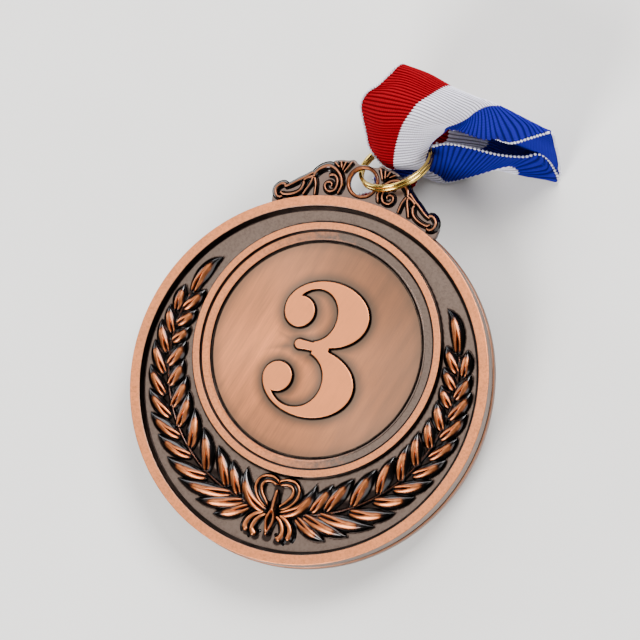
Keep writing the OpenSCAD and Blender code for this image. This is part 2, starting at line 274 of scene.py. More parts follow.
class Shader:
    """A material and short ways to add its nodes."""

    def __init__(self, name, **sockets):
        self.material = bpy.data.materials.new(name)
        self.material.use_nodes = True
        self.tree = self.material.node_tree
        self.tree.nodes.clear()
        self.surface = self.node("BsdfPrincipled")
        self.node("OutputMaterial", (0, self.surface.outputs[0]))
        for key, value in sockets.items():
            self.set(key.replace("_", " ").title().replace("Ior", "IOR"), value)
        self.place = self.node("TexCoord").outputs["Object"]

    def feed(self, socket, value):
        """Links a node's output to the socket, or sets the socket's own value."""
        if isinstance(value, bpy.types.NodeSocket):
            self.tree.links.new(value, socket)
        else:
            socket.default_value = value

    def node(self, kind, *feeds, **settings):
        """A new node with its settings, then its (socket, value) feeds."""
        node = self.tree.nodes.new("ShaderNode" + kind)
        for key, value in settings.items():
            setattr(node, key, value)
        for socket, value in feeds:
            self.feed(node.inputs[socket], value)
        return node

    def set(self, socket, value):
        self.feed(self.surface.inputs[socket], value)

    def attribute(self, name):
        return self.node("Attribute", attribute_name=name).outputs["Fac"]

    def math(self, operation, a, b=0.0):
        return self.node("Math", (0, a), (1, b), operation=operation).outputs[0]

    def plus(self, a, b):
        return self.math("ADD", a, b)

    def times(self, a, b):
        return self.math("MULTIPLY", a, b)

    def noise(self, scale, detail=3.0, roughness=0.55, stretch=(1, 1, 1), turn=0.0):
        """Noise in the part's own place, scale in waves per metre. stretch divides the waves along each axis."""
        turned = self.node("Mapping", ("Rotation", (0, 0, math.radians(turn))), ("Scale", stretch),
                           ("Vector", self.place), vector_type="TEXTURE")
        return self.node("TexNoise", ("Scale", scale), ("Detail", detail), ("Roughness", roughness),
                         ("Vector", turned.outputs[0])).outputs["Fac"]

    def span(self, value, from_low, from_high, to_low=0.0, to_high=1.0):
        return self.node("MapRange", ("Value", value), ("From Min", from_low), ("From Max", from_high),
                         ("To Min", to_low), ("To Max", to_high)).outputs[0]

    def ramp(self, value, stops):
        node = self.node("ValToRGB", (0, value))
        elements = node.color_ramp.elements
        for i in (0, -1):
            elements[i].position, elements[i].color = stops[i]
        for position, colour in stops[1:-1]:
            elements.new(position).color = colour
        return node.outputs[0]

    def mix(self, factor, a, b, blend="MIX"):
        return self.node("Mix", (0, factor), (6, a), (7, b), data_type="RGBA", blend_type=blend).outputs[2]

    def done(self, colour, roughness, height, depth):
        """The material, with its colour, its roughness and a bump of the given depth in millimetres."""
        self.set("Base Color", colour)
        self.set("Roughness", roughness)
        self.set("Normal", self.node("Bump", ("Strength", 1.0), ("Distance", depth * MM),
                                     ("Height", height)).outputs[0])
        return self.material


def tint(r, g, b):
    return [r, g, b, 1]


BLACK = tint(0.006, 0.004, 0.004)
OXIDE = tint(0.035, 0.022, 0.018)
BROWN = tint(0.165, 0.12, 0.098)
COPPER = tint(0.82, 0.275, 0.10)


def cast_copper(name, roughness, copper, grain, brown=BROWN, specks=0.0):
    """Antique plating: tone 0 is black oxide, 0.5 the brown field and 1 rubbed copper; on the bezel's cove the tone
    also carries a painted highlight.
    """
    s = Shader(name, metallic=1.0)
    tone = s.plus(s.attribute("tone"), s.span(s.noise(900, 4), 0.3, 0.7, -0.07, 0.07))
    colour = s.ramp(tone, [(0.08, BLACK), (0.25, OXIDE), (0.48, brown), (0.62, brown), (0.9, copper)])
    colour = s.mix(s.span(s.noise(260, 5, 0.65), 0.35, 0.75, 0.0, 0.22), colour, brown)
    if specks:
        sand = s.noise(2600, 3, 0.6)
        colour = s.mix(s.span(sand, 0.42, 0.72, 0.0, specks), colour, s.mix(0.6, colour, OXIDE))
    return s.done(colour, s.span(tone, 0.1, 0.8, 0.3, roughness), s.noise(3800, 3, 0.6), grain)


def brushed_copper(name, direction, halo, open_colour, streak=0.26):
    """Brushed plating: fine strokes along one direction, in degrees from +X. tone 0 is unbrushed, 1 is open; on the
    disc the tone also carries a painted highlight.
    """
    s = Shader(name, metallic=1.0, anisotropic=0.5)
    colour = s.ramp(s.attribute("tone"), [(0.0, BLACK), (0.12, halo), (1.0, open_colour)])
    fine = s.noise(5200, 2, 0.6, stretch=(22, 1, 1), turn=direction)
    broad = s.noise(700, 3, 0.6, stretch=(9, 1, 1), turn=direction)
    colour = s.mix(s.span(broad, 0.35, 0.7, 0.0, 0.38), colour, halo)
    colour = s.mix(s.span(fine, 0.45, 0.75, 0.0, streak), colour, tint(0.20, 0.12, 0.085))
    return s.done(colour, s.span(fine, 0.3, 0.7, 0.36, 0.5), fine, 0.004)


def numeral_copper():
    s = Shader("numeral_plating", metallic=1.0)
    tone = s.attribute("tone")
    fine = s.noise(5200, 2, 0.6, stretch=(16, 1, 1), turn=68)
    top = s.mix(s.span(s.noise(330, 4, 0.6), 0.35, 0.75, 0.0, 0.3), COPPER, tint(0.58, 0.21, 0.09))
    top = s.mix(s.span(fine, 0.5, 0.75, 0.0, 0.14), top, tint(0.34, 0.16, 0.09))
    return s.done(s.mix(s.span(tone, 0.42, 0.56), BLACK, top), s.span(tone, 0.3, 0.6, 0.35, 0.46), fine, 0.003)


def relief_copper(name, bright, dull, roughness=0.33):
    """Blackened plating that is glossy in the hollows and rubbed bright along the ridges; on the leaves the bright
    copper also stands for painted light on the flank away from the crown.
    """
    s = Shader(name, metallic=1.0, coat_roughness=0.13)
    tone = s.plus(s.attribute("tone"), s.span(s.noise(1500, 4, 0.6), 0.3, 0.7, -0.1, 0.1))
    warm = s.mix(s.span(s.noise(500, 3), 0.35, 0.7), bright, dull)
    colour = s.ramp(tone, [(0.12, BLACK), (0.4, tint(0.035, 0.013, 0.008)), (0.65, tint(0.17, 0.052, 0.021)),
                           (0.9, tint(0.40, 0.125, 0.045))])
    s.set("Coat Weight", s.span(tone, 0.25, 0.6, 0.7, 0.0))
    return s.done(s.mix(s.span(tone, 0.6, 1.0), colour, warm), s.span(tone, 0.3, 0.8, 0.24, roughness),
                  s.noise(2200, 3, 0.6), 0.012)


def ring_brass():
    s = Shader("ring_brass", metallic=1.0)
    colour = s.mix(s.noise(900, 4, 0.6), tint(0.82, 0.58, 0.15), tint(0.52, 0.34, 0.07))
    return s.done(colour, s.span(s.noise(2600, 3), 0.3, 0.7, 0.12, 0.24), s.noise(5000, 2), 0.002)


RED = tint(0.27, 0.0008, 0.007)
WHITE = tint(0.86, 0.84, 0.97)
BLUE = tint(0.014, 0.012, 0.25)


def grosgrain(name, geometric_ribs):
    """Ribbed cloth in three equal stripes, with painted shade in its grooves. across is 0 to 1 and along is in
    millimetres.
    """
    s = Shader(name, specular_ior_level=0.03)
    across, along = s.attribute("across"), s.attribute("along")
    rib = s.math("SINE", s.times(along, 2 * math.pi / RIB_PITCH))
    edge = s.plus(across, s.times(rib, 0.0045))
    colour = s.mix(s.span(edge, 0.331, 0.3355), RED, WHITE)
    colour = s.mix(s.span(edge, 0.6645, 0.669), colour, BLUE)
    yarn = s.math("SINE", s.times(across, 2 * math.pi * RIBBON_W / YARN_PITCH))
    fibre = s.noise(4200, 3, 0.6)
    # painted shade: the colour is darkened in the grooves between the ribs and, less, between the yarns; the fibre
    # noise is the cloth's own uneven tone
    groove_shade_and_fibre = s.times(s.span(rib, -1.0, 0.2, 0.3, 1.0), s.span(yarn, -1.0, 1.0, 0.85, 1.0))
    groove_shade_and_fibre = s.times(groove_shade_and_fibre, s.span(fibre, 0.3, 0.7, 0.9, 1.06))
    height = s.plus(s.times(yarn, 0.25), s.times(fibre, 0.5))
    if not geometric_ribs:
        height = s.plus(height, s.times(rib, 1.2))
    return s.done(s.mix(1.0, colour, groove_shade_and_fibre, "MULTIPLY"), 0.9, height, 0.05)


def thread(name, colour, dark):
    s = Shader(name, sheen_weight=0.2)
    twist = s.noise(3600, 2, 0.5, stretch=(1, 1, 3))
    return s.done(s.mix(s.span(twist, 0.35, 0.7), dark, colour), 0.75, twist, 0.03)


def paper():
    s = Shader("band_paper")
    fibre = s.noise(1600, 4, 0.6, stretch=(3, 1, 1))
    colour = s.mix(s.span(fibre, 0.35, 0.65), srgb(236, 233, 226), srgb(222, 218, 208))
    return s.done(colour, 0.85, fibre, 0.01)


side_metal = cast_copper("side_plating", 0.42, tint(0.42, 0.18, 0.10), 0.01, tint(0.15, 0.08, 0.055))
rim_metal = cast_copper("rim_plating", 0.45, COPPER, 0.022, specks=0.55)
crown_metal = cast_copper("crown_plating", 0.42, tint(0.40, 0.20, 0.12), 0.01, tint(0.17, 0.12, 0.10))
disc_metal = brushed_copper("disc_plating", 72, tint(0.13, 0.092, 0.068), tint(0.84, 0.295, 0.115))
numeral_metal = numeral_copper()
leaf_metal = relief_copper("leaf_plating", tint(0.60, 0.20, 0.072), tint(0.36, 0.115, 0.043))
scroll_metal = relief_copper("scroll_plating", tint(0.40, 0.17, 0.09), tint(0.25, 0.11, 0.062), 0.4)
brass_metal = ring_brass()
ribbon_cloth = grosgrain("ribbon_weave", True)
hank_cloth = grosgrain("hank_weave", False)
white_thread = thread("white_thread", srgb(240, 239, 246), srgb(186, 184, 200))
band_paper = paper()


# ---- wreath

LEAF_WIDTHS = [(0, 0.5), (0.15, 0.78), (0.35, 1.0), (0.5, 1.04), (0.68, 0.9), (0.85, 0.56), (0.95, 0.28), (1, 0.1)]
LEAF_HEIGHTS = [(0, 0.5), (0.2, 0.82), (0.5, 1.0), (0.8, 0.86), (1, 0.5)]

# Leaves of the left branch as (base, tip, bulge to the left of the way from base to tip), in order from the bow.
INNER_LEAVES = [
    ((-1, -22.1), (-6, -15.9), 1.5), ((-6.2, -20.6), (-8.7, -15.4), 0.15),
    ((-8.5, -19.9), (-11.8, -13.7), -0.2), ((-12.6, -18.3), (-15, -11.4), -0.35),
    ((-16.4, -15.3), (-17.4, -8.7), -0.3), ((-19.4, -12.4), (-19.1, -6.2), -0.3),
    ((-21.3, -9.5), (-20.1, -3.9), -0.25), ((-22.8, -6.2), (-21.3, -1.4), -0.2),
    ((-23.9, -3), (-21.8, 1.6), -0.2), ((-24.2, 0.9), (-21.8, 4), -0.15),
    ((-24.2, 3.8), (-21.4, 6.9), -0.1), ((-23.9, 6.5), (-20.9, 10.4), -0.15)]
OUTER_LEAVES = [
    ((-4, -21.9), (-9.7, -24.5), 0.3), ((-5, -21.3), (-13.2, -22.9), 0.3),
    ((-7.4, -20.6), (-17, -20.3), 0.55), ((-12.2, -19), (-19.8, -17.4), 0.55),
    ((-15.7, -16.4), (-22.3, -14.2), 0.45), ((-18.4, -13.8), (-24.5, -11), 0.4),
    ((-20.9, -11), (-25.8, -7.3), 0.35), ((-22.8, -7.8), (-26.7, -3.5), 0.3),
    ((-23.8, -4.4), (-27.1, 0.6), 0.3), ((-24.3, -1), (-26.9, 4.1), 0.25),
    ((-24.4, 2.3), (-26.1, 6.8), 0.2), ((-24.9, 6), (-24.5, 10.5), 0.2)]
END_LEAF = [(-23.1, 9.4), (-22.6, 11.4), (-21.9, 13.2), (-20.9, 14.9), (-19.5, 16.2)]
CROWN_SIDE = (-0.25, 0.97)
STEM_CENTRE = (0, 2.5)
STEM_R = 24.3
STEM_TOP = 6  # how far up the field is blackened beside the stem


def leaf_section(t):
    """Two ridges that part towards the base, with a hollow between them. The side away from the crown is +1."""
    middle = 0.02
    part = 0.03 + 0.33 * (1 - smooth_step(0.1, 0.56, t))
    hollow = 0.75 * (1 - smooth_step(0.14, 0.6, t))
    left, right = middle + part, middle - part
    share = np.r_[np.linspace(1, left, 9)[:-1], np.linspace(left, right, 9), np.linspace(right, -1, 9)[1:]]
    out_left = np.clip((share - left) / (1 - left), 0, 1)
    out_right = np.clip((right - share) / (right + 1), 0, 1)
    inside = np.clip(1 - np.abs(share - middle) / part, 0, 1)
    lift = 1 - 0.75 * out_left**1.8 - 0.75 * out_right**1.6 - hollow * smooth_step(0, 1, inside)
    # Rubbed copper on the ridges, with painted light and shade: the copper reaches far down the flank away from the
    # crown, as if lit, and stops short on the crown side, kept dark as painted shade.
    tone_left = 1 - smooth_step(0.15, 0.95, out_left)
    tone_right = 1 - smooth_step(0.0, 0.6, out_right)
    tone = np.where(share > left, tone_left, np.where(share < right, tone_right, 1.0))
    tone = tone * (1 - smooth_step(0.6, 0.86, t)) * smooth_step(-0.02, 0.1, t)
    tone = tone * (1 - 0.75 * smooth_step(0.3, 0.9, inside) * smooth_step(0.1, 0.2, part))
    return share, np.maximum(lift, 0.05), tone


def turned_section(t):
    share, lift, tone = leaf_section(t)
    return -share[::-1], lift[::-1], tone[::-1]


def leaf_path(base, tip, bulge, count=26):
    base, tip = np.array(base), np.array(tip)
    t = np.linspace(0, 1, count)[:, None]
    along = (tip - base) / np.linalg.norm(tip - base)
    left = np.array([-along[1], along[0]])
    return base + (tip - base) * t + left * bulge * 4 * t * (1 - t)


def shaped(pairs, count):
    """A smooth row of values from (place, value) pairs."""
    curve = spline(pairs, 10)
    return np.interp(np.linspace(0, 1, count), curve[:, 0], curve[:, 1])


def leaf(path, half_width, height):
    n = len(path)
    way = path[-1] - path[0]
    # painted light: each leaf is turned so that its wide copper flank faces away from the crown and its darker flank
    # towards it
    to_crown = -way[1] * CROWN_SIDE[0] + way[0] * CROWN_SIDE[1]
    section = turned_section if to_crown > 0 else leaf_section
    return relief(path, half_width * shaped(LEAF_WIDTHS, n), height * shaped(LEAF_HEIGHTS, n), section, FIELD_Z)


def ridge_section(t, top=0.3, skirt=0.85):
    """One rounded ridge with dark flanks."""
    share = np.r_[1, np.linspace(skirt, -skirt, 13), -1]
    away = np.abs(share)
    lift = 1 - (away / skirt) ** 2.2
    tone = 1 - smooth_step(top - 0.12, top + 0.22, away)
    return share, np.maximum(lift, 0.02), tone


def twin_section(t):
    """A band with a ridge along each side and a dark furrow between."""
    share = np.linspace(1, -1, 19)
    away = np.abs(np.abs(share) - 0.46)
    lift = 1 - np.where(np.abs(share) > 0.46, (away / 0.54) ** 2, 0.5 * smooth_step(0.05, 0.46, away))
    tone = 0.9 * np.exp(-(away / np.where(share > 0, 0.3, 0.22)) ** 2)
    return share, np.maximum(lift, 0.05), tone


def leaf_paths():
    """(path, half width, height) of each leaf of the left branch, from the bow to the tip."""
    rows = []
    for inner, outer in zip(INNER_LEAVES, OUTER_LEAVES):
        for (base, tip, bulge), wide in ((outer, 1.02), (inner, 1.08)):
            size = math.dist(base, tip)
            rows.append((leaf_path(base, tip, bulge), wide + 0.03 * size, LEAF_H * (0.8 + 0.02 * size)))
    rows.append((evenly(spline(END_LEAF), 30), 1.25, LEAF_H * 0.95))
    return rows


def stem_section(t):
    share, lift, tone = ridge_section(t)
    return share, lift, tone * 0.45


def branch():
    angle = np.radians(np.linspace(11, 106, 60))
    stem = np.column_stack([STEM_CENTRE[0] - STEM_R * np.sin(angle), STEM_CENTRE[1] - STEM_R * np.cos(angle)])
    parts = [relief(stem, np.full(60, 0.4), np.full(60, LEAF_H * 0.4), stem_section, FIELD_Z)]
    return parts + [leaf(*row) for row in leaf_paths()]


make_pair("laurel_branch_", branch(), leaf_metal, "laurel_")


# ---- bow

BOW_LOOP = [(0, -17.4), (-0.8, -17), (-1.6, -16.85), (-2.6, -17.1), (-3.2, -18), (-3, -19.2), (-2.2, -20.3),
            (-1, -21.3)]
INNER_TAIL = [(-0.8, -22.5), (-1.7, -23.1), (-2.4, -24.2), (-2.55, -25.3), (-1.9, -26.3)]
OUTER_TAIL = [(-1.3, -22.2), (-2.7, -22.9), (-3.6, -24), (-3.8, -25.1), (-3.5, -25.9)]
KNOT = [(0, -18.2), (0, -20), (0, -21.5), (0, -23.5), (0, -26)]


def stroke(points, widths, height, section, base, count=40):
    """A relief stroke along a smooth path, with (place, half width) pairs."""
    path = evenly(spline(points), count)
    ends = smooth_step(-0.02, 0.05, np.linspace(0, 1, count)) * smooth_step(1.02, 0.95, np.linspace(0, 1, count))
    return relief(path, shaped(widths, count) * np.maximum(ends, 0.06), height * (0.4 + 0.6 * ends), section, base)


def knot_section(t):
    share = np.linspace(1, -1, 17)
    part = 0.5 * math.sin(math.pi * min(max((t - 0.42) / 0.5, 0), 1)) + 0.02
    away = np.abs(np.abs(share) - part)
    outside = np.abs(share) > part
    lift = 1 - np.where(outside, (away / (1 - part)) ** 2, 0.8 * smooth_step(0, part + 0.01, away) * (part > 0.1))
    tone = 0.85 * np.exp(-(away / 0.3) ** 2)
    return share, np.maximum(lift, 0.05), tone


def bow():
    loop = stroke(BOW_LOOP, [(0, 0.7), (0.3, 1.0), (0.5, 1.1), (0.8, 1.0), (1, 0.6)], LEAF_H * 0.9,
                  twin_section, FIELD_Z)
    inner = stroke(INNER_TAIL, [(0, 0.5), (0.4, 0.85), (0.7, 0.9), (0.88, 1.25), (1, 1.1)], LEAF_H * 0.85,
                   ridge_section, FIELD_Z)
    outer = stroke(OUTER_TAIL, [(0, 0.5), (0.4, 0.85), (0.8, 1.05), (1, 0.95)], LEAF_H * 0.75, ridge_section, FIELD_Z)
    knot = stroke(KNOT, [(0, 0.6), (0.25, 0.9), (0.42, 0.8), (0.62, 1.1), (0.8, 0.9), (1, 0.6)], LEAF_H,
                  knot_section, FIELD_Z)
    half = [outer, inner, loop]
    return half + [mirrored(p) for p in half] + [knot]


make_piece("ribbon_bow_relief", bow(), leaf_metal, ["laurel_bow"])


# ---- body, bezel, disc and back

def back_plate():
    outline = rounded([(0, 0, 0), (FLANGE_R - 0.2, 0, 0.1), (FLANGE_R, 0.2, 0.1), (FLANGE_R, FLANGE_Z - 0.2, 0.1),
                       (FLANGE_R - 0.2, FLANGE_Z, 0.1), (0, FLANGE_Z, 0)], [0.5, 0.8, 0.62, 0.9, 0.05])
    outline[[0, -1], 0] = 0.5
    return lathe(outline)


def distance_to_leaves(xy):
    """How far each point is outside the nearest leaf or bow stroke, in millimetres."""
    dots, radii = [], []
    for path, width, _ in leaf_paths():
        dots.append(path)
        radii.append(width * shaped(LEAF_WIDTHS, len(path)))
    for points, width in ((BOW_LOOP, 0.8), (INNER_TAIL, 0.65), (OUTER_TAIL, 0.6), (KNOT, 0.8)):
        path = evenly(spline(points), 20)
        dots.append(path)
        radii.append(np.full(20, width))
    dots, radii = np.concatenate(dots), np.concatenate(radii)
    near = np.full(len(xy), 9.0)
    folded = np.column_stack([-np.abs(xy[:, 0]), xy[:, 1]])
    for dot, radius in zip(dots, radii):
        near = np.minimum(near, np.hypot(*(folded - dot).T) - radius)
    return near


def medal_body():
    inner = RIM_R - RIM_W
    foot = inner - WALL_W
    outline = rounded([(RIM_R - 0.25, FLANGE_Z - 0.05, 0), (RIM_R - 0.25, GROOVE_Z, 0.03), (RIM_R, GROOVE_Z, 0.08),
                       (RIM_R, RIM_Z, 0.16), (inner, RIM_Z, 0.12), (foot, FIELD_Z, 0.05), (foot - 0.15, FIELD_Z, 0)],
                      [0.05, 0.1, 0.6, 1.0, 0.0, 0.02])
    verts, faces, values = lathe(outline, segments=360)
    rim = (verts, faces[:-2], values)  # open at both ends
    radii = np.arange(foot - 0.15, 13, -0.22)
    segments = 720
    xy = polar_grid(radii, segments)
    tone = 0.02 + 0.5 * smooth_step(0.0, 0.18, foot - 0.02 - np.hypot(*xy.T))
    tone *= 0.05 + 0.95 * smooth_step(0.05, 0.3, np.hypot(*(xy - CENTRE).T) - BEZEL_R)
    tone *= smooth_step(-0.12, 0.12, distance_to_leaves(xy))
    from_stem = np.abs(np.hypot(*(xy - STEM_CENTRE).T) - STEM_R)
    tone *= 1 - (1 - smooth_step(1.0, 1.7, from_stem)) * (xy[:, 1] < STEM_TOP)
    verts = np.column_stack([xy, np.full(len(xy), FIELD_Z)])
    return [rim, (verts, grid_faces(len(radii), segments, wrap_cols=True), {"tone": tone})]


def bezel():
    flat_out, flat_in = BEZEL_R - 0.18, BEZEL_R - 1.3
    lip = DISC_R + 0.5
    cove = BEZEL_Z - 0.45
    verts, faces, values = lathe(rounded([(BEZEL_R + 0.2, FIELD_Z - 0.1, 0), (BEZEL_R, FIELD_Z + 0.1, 0.05),
                          (flat_out, BEZEL_Z, 0.08), (flat_in, BEZEL_Z, 0.08), (flat_in - 0.16, cove, 0.04),
                          (flat_in - 0.36, cove, 0.03), (lip + 0.05, cove - 0.05, 0.04), (lip, cove + 0.08, 0.06),
                          (lip - 0.2, cove + 0.08, 0.06), (lip - 0.26, DISC_Z - 0.2, 0.03),
                          (DISC_R - 0.02, DISC_Z - 0.25, 0)],
                         [0.0, 0.0, 1.0, 0.0, 0.0, 0.56, 0.56, 0.6, 0.0, 0.0]), CENTRE, 360)
    inside = np.hypot(*(verts[:, :2] - CENTRE).T) < flat_in
    # painted highlight: the cove and lip inside the flat are painted brighter copper towards the left, the side the
    # light comes from
    painted_highlight = smooth_step(-0.6, 0.9, ((verts[:, :2] - CENTRE) @ [-0.97, -0.24]) / BEZEL_R)
    values["tone"] = values["tone"] + 0.36 * painted_highlight * inside * (values["tone"] > 0.5)
    return verts, faces, values


def ellipse_distance(xy, centre, rx, ry):
    """About how far each point is outside an ellipse."""
    p = xy - centre
    share = np.hypot(p[:, 0] / rx, p[:, 1] / ry)
    slope = np.hypot(p[:, 0] / rx**2, p[:, 1] / ry**2) / np.maximum(share, 1e-6)
    return (share - 1) / np.maximum(slope, 1e-6)


def soft_union(a, b, k):
    h = np.clip(0.5 + 0.5 * (b - a) / k, 0, 1)
    return b + (a - b) * h - k * h * (1 - h)


def bowl_distance(xy, outer, inner, ball, mouth):
    """A bowl of the numeral: two ellipses, a ball at its open end and a mouth on its left."""
    ring = np.maximum(ellipse_distance(xy, *outer), -ellipse_distance(xy, *inner))
    in_mouth = np.maximum(xy[:, 0] + 0.6, np.maximum(mouth[0] - xy[:, 1], xy[:, 1] - mouth[1]))
    ring = np.maximum(ring, -in_mouth)
    return np.minimum(ring, np.hypot(*(xy - ball[0]).T) - ball[1])


def numeral_distance(xy):
    top = bowl_distance(xy, ((0.3, 10.8), 7.2, 5.35), ((-1.6, 10.3), 3.8, 4.3), ((-4.3, 10.4), 2.55), (4.8, 10.4))
    low_bowl = bowl_distance(xy, ((0.15, -0.5), 7.72, 5.65), ((-2.0, -0.3), 4.45, 4.6), ((-5.1, -0.6), 2.45),
                             (-0.8, 5.2))
    start, end = np.array([-2.95, 5.25]), np.array([1.4, 5.3])
    along = np.clip(((xy - start) @ (end - start)) / np.dot(end - start, end - start), 0, 1)
    arm = np.hypot(*(xy - start - along[:, None] * (end - start)).T) - (0.78 - 0.1 * np.sin(math.pi * along))
    return soft_union(np.minimum(top, low_bowl), arm, 0.25)


def disc():
    """The brushed disc, duller close to the numeral and to its own edge, and brighter towards its left through a
    painted highlight.
    """
    edge = DISC_R - 0.02
    radii = np.r_[edge, edge - 0.03, edge - 0.14, edge - 0.2, edge - 0.28, np.arange(edge - 0.4, 0.2, -0.12), 0.15]
    segments = 900
    xy = polar_grid(radii, segments) + CENTRE
    from_edge = np.repeat(edge - radii, segments)
    verts = np.column_stack([xy, DISC_Z - 0.04 * (from_edge < 0.02)])
    near = numeral_distance(xy)
    tone = 0.14 + 0.86 * smooth_step(0.2, 2.4, near) * (0.45 + 0.55 * smooth_step(0.1, 2.0, from_edge))
    # painted highlight: the open brushed tone stays bright round a spot left of centre and fades away from it, as if
    # lit from the left
    painted_highlight = np.exp(-(np.hypot(*(xy - PAINTED_HIGHLIGHT_AT).T) / PAINTED_HIGHLIGHT_R) ** 2)
    tone = 0.14 + (tone - 0.14) * (0.2 + 0.8 * painted_highlight)
    tone *= smooth_step(0.16, 0.26, from_edge) * smooth_step(0.26, 0.4, near)
    last = (len(radii) - 1) * segments
    faces = grid_faces(len(radii), segments, wrap_cols=True) + [tuple(range(last, last + segments))]
    low_ring = verts[:segments] - [0, 0, DISC_Z - FLANGE_Z - 0.4]
    foot = len(verts)
    faces += [(i, (i + 1) % segments, foot + (i + 1) % segments, foot + i) for i in range(segments)]
    faces.append(tuple(range(foot + segments - 1, foot - 1, -1)))
    return np.concatenate([verts, low_ring]), faces, {"tone": np.r_[tone, np.zeros(segments)]}


def numeral():
    """A height field over the numeral: flat top, narrow dark slope all round."""
    step, reach = 0.09, 0.5
    x, y = np.arange(-8.5, 8.9, step), np.arange(-7.0, 17.0, step)
    xy = np.stack(np.meshgrid(x, y), axis=-1).reshape(-1, 2)
    near = numeral_distance(xy)
    rise = 1 - smooth_step(-0.1, 0.3, near)
    z = DISC_Z - 0.05 + (NUMERAL_Z - DISC_Z + 0.05) * rise
    tone = np.clip(0.38 - near / 0.6, 0, 1)
    cols = len(x)
    keep = (near < reach).reshape(len(y), cols)
    full = keep[:-1, :-1] & keep[1:, :-1] & keep[:-1, 1:] & keep[1:, 1:]
    rows_at, cols_at = np.nonzero(full)
    corner = rows_at * cols + cols_at
    quads = np.column_stack([corner, corner + 1, corner + cols + 1, corner + cols])
    used, renumbered = np.unique(quads, return_inverse=True)
    quads = renumbered.reshape(-1, 4)
    return np.column_stack([xy, z])[used], [tuple(q) for q in quads.tolist()], {"tone": tone[used]}


make_piece("back_flange", [back_plate()], side_metal, ["back_plate"])
make_piece("medal_casting", medal_body(), rim_metal, ["medal_body"], recalculate=False)
make_piece("bezel_ring", [bezel()], rim_metal, ["centre_bezel"])
make_piece("brushed_disc", [disc()], disc_metal, ["centre_disc"])
make_piece("raised_numeral", [numeral()], numeral_metal, ["numeral_three"], recalculate=False)


# ---- crown and eyelet

CROWN_EDGE = [(-14.3, 27), (-14.4, 28.6), (-13.7, 29.9), (-12.8, 30.5), (-12.1, 30.2), (-11.2, 31.1), (-9.8, 32.3),
              (-8.3, 33.7), (-7, 34.7), (-5.9, 35.1), (-5.6, 35.6), (-4.4, 36), (-3.4, 36.1), (-2.4, 36.4),
              (-1.6, 35.9), (0, 35.85)]
CROWN_STROKES = [
    # arm from the rim round the scroll and out to its pointed end
    ([(-3.6, 30.2), (-3.3, 31), (-3.2, 31.9), (-3.6, 33), (-4.3, 33.8), (-5.1, 34.3), (-6.1, 34.5), (-7.1, 34),
      (-7.8, 33.3), (-8.1, 32.7), (-8.2, 32.1)], [(0, 0.34), (0.3, 0.44), (0.6, 0.62), (0.85, 0.6), (1, 0.5)]),
    # scroll
    ([(-5.7, 32.7), (-5.4, 33.1), (-4.8, 33.2), (-4.2, 32.7), (-3.95, 31.9), (-4.05, 31), (-4.6, 30.5),
      (-5.4, 30.5), (-5.9, 31.1), (-5.75, 31.75), (-5.2, 31.95), (-4.8, 31.6), (-4.9, 31.15)],
     [(0, 0.42), (0.3, 0.4), (0.7, 0.36), (1, 0.34)]),
    # outer arm on to the volute
    ([(-8.3, 33), (-9.5, 31.9), (-10.4, 31.2), (-11.1, 30.6), (-11.9, 30), (-12.7, 29.6)],
     [(0, 0.36), (0.5, 0.42), (1, 0.36)]),
    ([(-8.2, 32.3), (-9, 31.9), (-9.7, 31.3)], [(0, 0.5), (1, 0.42)]),
    # ribs below the arm
    ([(-8, 32.2), (-7.5, 31.1), (-7.2, 29.3)], [(0, 0.36), (1, 0.3)]),
    ([(-8.2, 32.2), (-8.4, 31.1), (-8.9, 29.8), (-9.2, 28.9)], [(0, 0.4), (1, 0.34)]),
    ([(-9.7, 31.3), (-9.5, 30.6), (-9.9, 29.5), (-11.1, 28.7), (-12.5, 28.4), (-13.1, 28.8)],
     [(0, 0.42), (0.5, 0.4), (1, 0.36)]),
    # volute
    ([(-12.3, 29.9), (-12.9, 30.1), (-13.5, 29.7), (-13.9, 29), (-13.7, 28.2), (-13.1, 27.8), (-12.4, 28)],
     [(0, 0.46), (0.5, 0.5), (1, 0.36)]),
    # fan beside the eyelet
    ([(-5.3, 35.3), (-4.3, 34.6)], [(0, 0.38), (1, 0.24)]),
    ([(-4.3, 35.7), (-3.9, 34.6)], [(0, 0.4), (1, 0.24)]),
    ([(-3.4, 35.8), (-3.7, 34.2)], [(0, 0.4), (1, 0.22)]),
    ([(-2.4, 36), (-3.4, 33.9)], [(0, 0.4), (1, 0.22)])]


def crown_section(t):
    return ridge_section(t, 0.16, 0.8)


def crown_scroll():
    parts = []
    for points, widths in CROWN_STROKES:
        widths = [(t, 1.25 * w + 0.08) for t, w in widths]
        count = 12 if len(points) == 2 else 60
        parts.append(stroke(points, widths, SCROLL_Z - PLATE_Z, crown_section, PLATE_Z, count))
    return parts


def crown_outline():
    """The crown's closed outline: its shaped edge, and back along the rim's outer wall."""
    left = spline(CROWN_EDGE, 6)
    right = left[-2::-1] * [-1, 1]
    reach = math.atan2(left[0][0], left[0][1])
    angle = np.linspace(-reach, reach, 60)
    under = np.column_stack([np.sin(angle), np.cos(angle)]) * (RIM_R - 0.6)
    return np.concatenate([left, right, under])


